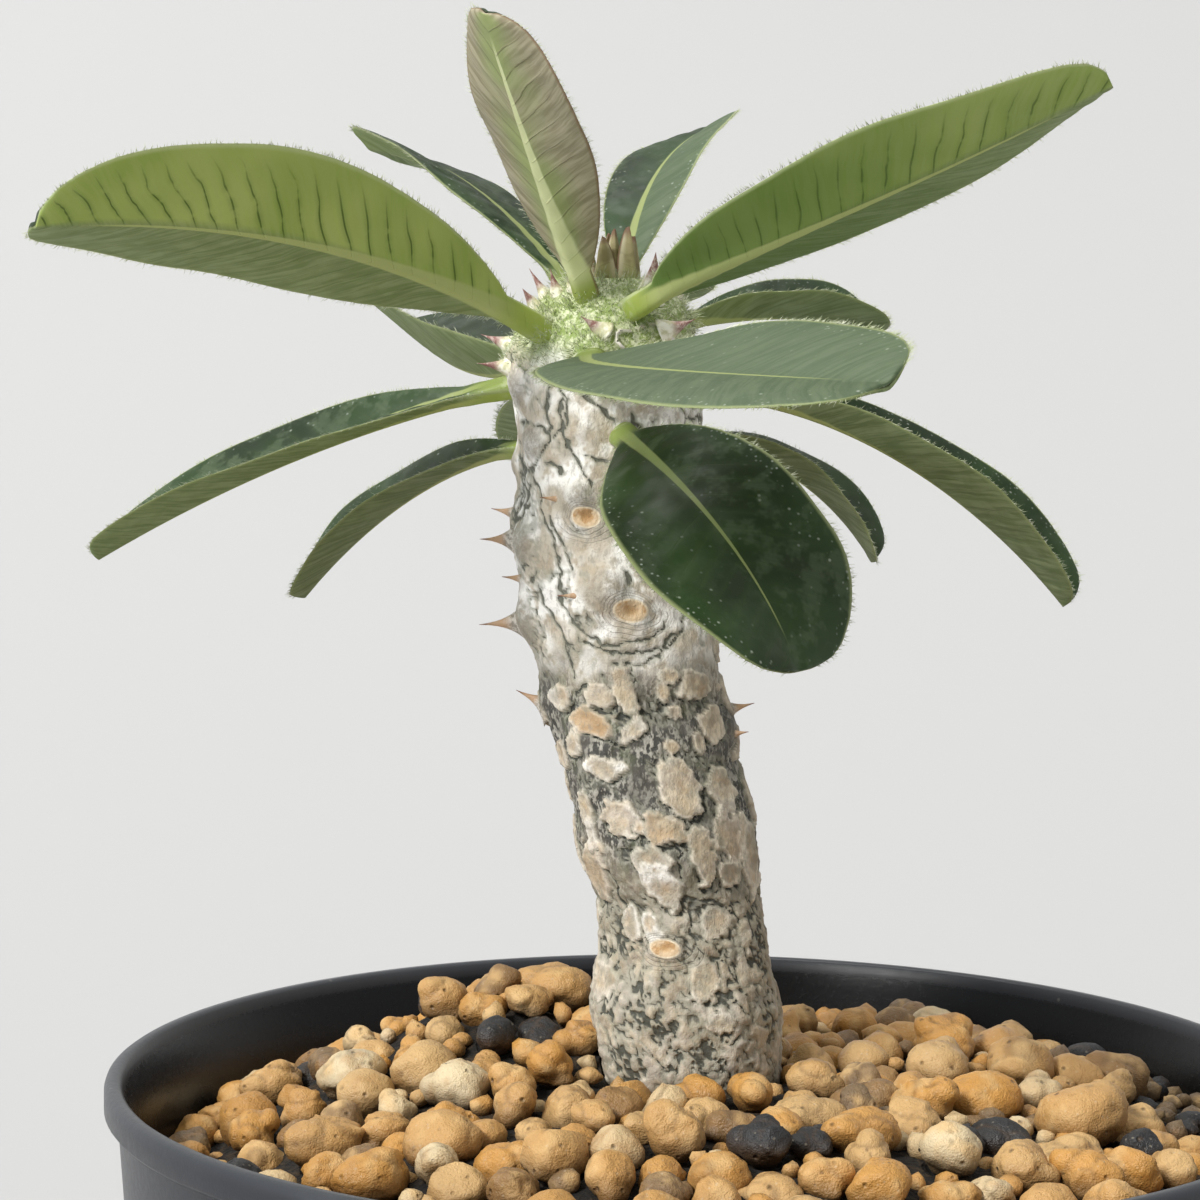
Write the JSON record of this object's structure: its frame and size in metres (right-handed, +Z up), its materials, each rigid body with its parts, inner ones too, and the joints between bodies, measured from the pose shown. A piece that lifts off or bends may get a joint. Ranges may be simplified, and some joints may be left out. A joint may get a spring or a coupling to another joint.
{
  "type": "potted tucky pachypodium",
  "caption": "Spiny upright caudex crowned with folded oval leaves, planted in porous gravel in a tapered black plastic nursery pot.",
  "frame": {"origin": "centre of the pot's flat underside", "axes": "+Z up along the pot's axis, -Y towards the front, where the leaf with its glossy upper side hangs down"},
  "size_m": [0.0937, 0.0956, 0.1561],
  "materials": {
    "pot_plastic": "moulded satin plastic, glossier inside",
    "gravel_bed": "damp porous volcanic gravel",
    "bark": "silvery fissured bark with corky plates",
    "leaf": "leathery, dark and glossy above, grey green below",
    "bud": "downy young leaf",
    "stone_tan": "rough porous grain",
    "stone_ochre": "rough porous grain",
    "stone_pale": "chalky pitted grain",
    "stone_dark": "dark vesicular lava grain"
  },
  "bodies": {
    "root": {"pot": "pot_plastic", "gravel_bed": "gravel_bed", "caudex": "bark", "leaf_left_high": "leaf", "leaf_left_back": "leaf", "leaf_crown_front": "leaf", "leaf_crown_back": "leaf", "leaf_right_high": "leaf", "leaf_right_back": "leaf", "leaf_front": "leaf", "leaf_right_arching": "leaf", "leaf_right_low": "leaf", "leaf_front_low": "leaf", "leaf_left_arching": "leaf", "leaf_left_low": "leaf", "leaf_left_mid": "leaf", "leaf_back_high": "leaf", "leaf_back_low": "leaf", "leaf_back_mid": "leaf", "bud_leaf_1": "bud", "bud_leaf_2": "bud", "bud_leaf_3": "bud", "bud_leaf_4": "bud", "bud_leaf_5": "bud", "stone_01": "stone_tan", "stone_02": "stone_tan", "stone_03": "stone_dark", "stone_04": "stone_pale", "stone_05": "stone_tan", "stone_06": "stone_ochre", "stone_07": "stone_pale", "stone_08": "stone_tan", "stone_09": "stone_ochre", "stone_10": "stone_tan", "stone_11": "stone_tan", "stone_12": "stone_ochre", "stone_13": "stone_tan", "stone_14": "stone_tan", "stone_15": "stone_ochre", "stone_16": "stone_tan", "stone_17": "stone_ochre", "stone_18": "stone_tan", "stone_19": "stone_ochre", "stone_20": "stone_tan", "stone_21": "stone_pale", "stone_22": "stone_ochre", "stone_23": "stone_dark", "stone_24": "stone_tan", "stone_25": "stone_dark", "stone_26": "stone_ochre"}
  },
  "joints": []
}
